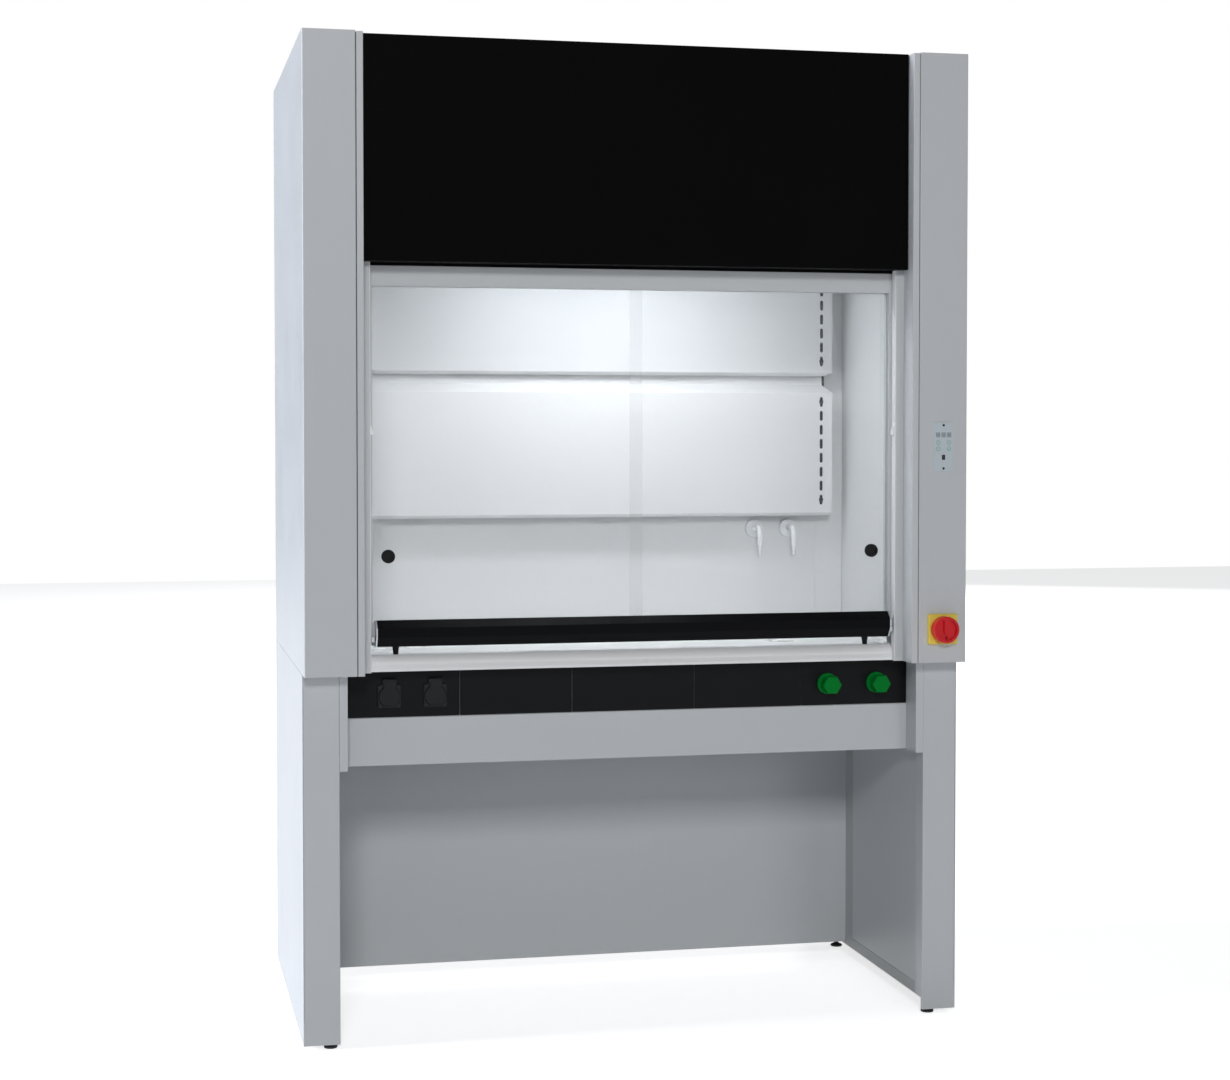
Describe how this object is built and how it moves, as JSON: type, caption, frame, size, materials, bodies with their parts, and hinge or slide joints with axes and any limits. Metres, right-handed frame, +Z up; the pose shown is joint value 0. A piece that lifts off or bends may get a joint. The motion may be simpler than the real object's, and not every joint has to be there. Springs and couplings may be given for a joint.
{
  "type": "fume hood",
  "caption": "Walk-up laboratory fume hood on side stands, with a counterweighted sash that carries sideways sliding panes, baffles, service outlets, taps and a main switch.",
  "frame": {"origin": "on the floor, in the middle of the footprint, with the main switch knob counted in", "axes": "+X to the right as seen from the front, +Y towards the back, +Z up"},
  "size_m": [1.5, 0.934, 2.2],
  "materials": {
    "cabinet_paint": "fine powder coat, satin",
    "frame_paint": "powder coat, satin",
    "liner_paint": "smooth light coat, satin",
    "fascia_paint": "black powder coat, satin",
    "panel_black": "black, semi gloss",
    "worktop_ceramic": "glazed light grey",
    "sash_paint": "powder coat, satin",
    "handle_black": "black anodised look, satin",
    "cap_aluminium": "brushed",
    "guide_white": "white slide plastic",
    "hanger_dark": "dark primer, matt",
    "rubber": "matt black",
    "pane_glass": "clear safety glass",
    "pull_black": "matt black",
    "socket_black": "black, semi matt",
    "valve_green": "green, semi gloss",
    "nozzle_white": "white, semi gloss",
    "switch_yellow": "yellow, semi gloss",
    "switch_red": "red, semi gloss",
    "control_grey": "pale blue grey film",
    "key_grey": "light grey",
    "rocker_dark": "dark grey",
    "diffuser_white": "opal",
    "steel": "zinc plated",
    "weight_iron": "dark painted",
    "pulley_aluminium": "turned",
    "foot_dark": "dark plastic on a threaded stud"
  },
  "bodies": {
    "hood": {"front_posts": "cabinet_paint", "leg_frames": "frame_paint", "leg_skins": "cabinet_paint", "knee_panel": "cabinet_paint", "apron": "cabinet_paint", "service_panels": "panel_black", "socket_bodies": "socket_black", "valve_bodies": "valve_green", "worktop": "worktop_ceramic", "column_covers": "cabinet_paint", "sash_posts": "sash_paint", "sash_guides": "guide_white", "side_panels": "cabinet_paint", "liners": "liner_paint", "back_wall": "liner_paint", "baffle_upper": "liner_paint", "baffle_lower": "liner_paint", "baffle_hangers": "hanger_dark", "ceiling": "liner_paint", "lamp_housing": "frame_paint", "lamp_diffuser": "diffuser_white", "exhaust_plenum": "frame_paint", "fascia": "fascia_paint", "top_frame": "frame_paint", "rear_cover": "cabinet_paint", "hose_nozzles": "nozzle_white", "control_plate": "control_grey", "main_switch_plate": "switch_yellow", "shaft_brackets": "steel", "screws": "steel", "lift_cables": "steel"},
    "sash": {"sash_frame": "sash_paint", "sash_handle": "handle_black", "handle_caps": "cap_aluminium", "sash_buffers": "rubber", "cable_brackets": "steel"},
    "pane_left_body": {"pane_left": "pane_glass", "finger_pull_left": "pull_black"},
    "pane_right_body": {"pane_right": "pane_glass", "finger_pull_right": "pull_black"},
    "weight_left": {"counterweight_left": "weight_iron"},
    "weight_right": {"counterweight_right": "weight_iron"},
    "shaft": {"sync_shaft": "steel", "cable_pulleys": "pulley_aluminium"},
    "valve_knob_left_body": {"valve_knob_left": "valve_green"},
    "valve_knob_right_body": {"valve_knob_right": "valve_green"},
    "socket_lid_left_body": {"socket_lid_left": "socket_black"},
    "socket_lid_right_body": {"socket_lid_right": "socket_black"},
    "main_switch_knob_body": {"main_switch_knob": "switch_red"},
    "control_key_1_body": {"control_key_1": "key_grey"},
    "control_key_2_body": {"control_key_2": "key_grey"},
    "control_key_3_body": {"control_key_3": "key_grey"},
    "control_key_4_body": {"control_key_4": "key_grey"},
    "control_rocker_body": {"control_rocker": "rocker_dark"},
    "sash_stop_left_body": {"sash_stop_left": "steel"},
    "sash_stop_right_body": {"sash_stop_right": "steel"},
    "foot_front_left_body": {"foot_front_left": "foot_dark"},
    "foot_front_right_body": {"foot_front_right": "foot_dark"},
    "foot_rear_left_body": {"foot_rear_left": "foot_dark"},
    "foot_rear_right_body": {"foot_rear_right": "foot_dark"}
  },
  "joints": [
    {"name": "sash_lift", "type": "slide", "parent": "hood", "child": "sash", "axis": [0, 0, 1], "range_m": [0, 0.44], "deforming": ["lift_cables"]},
    {"name": "pane_left_slide", "type": "slide", "parent": "sash", "child": "pane_left_body", "axis": [1, 0, 0], "range_m": [0, 0.585]},
    {"name": "pane_right_slide", "type": "slide", "parent": "sash", "child": "pane_right_body", "axis": [-1, 0, 0], "range_m": [0, 0.585]},
    {"name": "weight_left_slide", "type": "slide", "parent": "hood", "child": "weight_left", "axis": [0, 0, -1], "range_m": [0, 0.44]},
    {"name": "weight_right_slide", "type": "slide", "parent": "hood", "child": "weight_right", "axis": [0, 0, -1], "range_m": [0, 0.44]},
    {"name": "shaft_turn", "type": "hinge", "parent": "hood", "child": "shaft", "pos_m": [0, -0.257, 2.11], "axis": [-1, 0, 0], "range_deg": [0, 352]},
    {"name": "main_switch_turn", "type": "hinge", "parent": "hood", "child": "main_switch_knob_body", "pos_m": [0.692, -0.467, 0.897], "axis": [0, 1, 0], "range_deg": [0, 90]},
    {"name": "valve_left_turn", "type": "hinge", "parent": "hood", "child": "valve_knob_left_body", "pos_m": [0.4587, -0.333, 0.765], "axis": [0, -1, 0], "range_deg": [0, 90]},
    {"name": "valve_right_turn", "type": "hinge", "parent": "hood", "child": "valve_knob_right_body", "pos_m": [0.5772, -0.333, 0.765], "axis": [0, -1, 0], "range_deg": [0, 90]},
    {"name": "socket_lid_left_hinge", "type": "hinge", "parent": "hood", "child": "socket_lid_left_body", "pos_m": [-0.5542, -0.3185, 0.797], "axis": [-1, 0, 0], "range_deg": [0, 110], "stiffness_Nm_per_rad": 0.02, "springref_deg": -28.65},
    {"name": "socket_lid_right_hinge", "type": "hinge", "parent": "hood", "child": "socket_lid_right_body", "pos_m": [-0.4522, -0.3185, 0.797], "axis": [-1, 0, 0], "range_deg": [0, 110], "stiffness_Nm_per_rad": 0.02, "springref_deg": -28.65},
    {"name": "control_key_1_press", "type": "slide", "parent": "hood", "child": "control_key_1_body", "axis": [0, 1, 0], "range_m": [0, 0.001], "stiffness_N_per_m": 300, "springref_m": -0.0005},
    {"name": "control_key_2_press", "type": "slide", "parent": "hood", "child": "control_key_2_body", "axis": [0, 1, 0], "range_m": [0, 0.001], "stiffness_N_per_m": 300, "springref_m": -0.0005},
    {"name": "control_key_3_press", "type": "slide", "parent": "hood", "child": "control_key_3_body", "axis": [0, 1, 0], "range_m": [0, 0.001], "stiffness_N_per_m": 300, "springref_m": -0.0005},
    {"name": "control_key_4_press", "type": "slide", "parent": "hood", "child": "control_key_4_body", "axis": [0, 1, 0], "range_m": [0, 0.001], "stiffness_N_per_m": 300, "springref_m": -0.0005},
    {"name": "control_rocker_tilt", "type": "hinge", "parent": "hood", "child": "control_rocker_body", "pos_m": [0.6933, -0.434, 1.2876], "axis": [-1, 0, 0], "range_deg": [0, 12]},
    {"name": "sash_stop_left_swing", "type": "hinge", "parent": "hood", "child": "sash_stop_left_body", "pos_m": [-0.612, -0.361, 1.377], "axis": [0, 1, 0], "range_deg": [0, 10], "stiffness_Nm_per_rad": 0.1, "springref_deg": -17.19},
    {"name": "sash_stop_right_swing", "type": "hinge", "parent": "hood", "child": "sash_stop_right_body", "pos_m": [0.612, -0.361, 1.377], "axis": [0, -1, 0], "range_deg": [0, 10], "stiffness_Nm_per_rad": 0.1, "springref_deg": -17.19},
    {"name": "foot_front_left_screw", "type": "slide", "parent": "hood", "child": "foot_front_left_body", "axis": [0, 0, 1], "range_m": [-0.015, 0]},
    {"name": "foot_front_right_screw", "type": "slide", "parent": "hood", "child": "foot_front_right_body", "axis": [0, 0, 1], "range_m": [-0.015, 0]},
    {"name": "foot_rear_left_screw", "type": "slide", "parent": "hood", "child": "foot_rear_left_body", "axis": [0, 0, 1], "range_m": [-0.015, 0]},
    {"name": "foot_rear_right_screw", "type": "slide", "parent": "hood", "child": "foot_rear_right_body", "axis": [0, 0, 1], "range_m": [-0.015, 0]}
  ],
  "couplings": [
    {"joint": "weight_left_slide", "follows": "sash_lift", "ratio": 1},
    {"joint": "weight_right_slide", "follows": "sash_lift", "ratio": 1},
    {"joint": "shaft_turn", "follows": "sash_lift", "rad_per_m": 13.889}
  ]
}
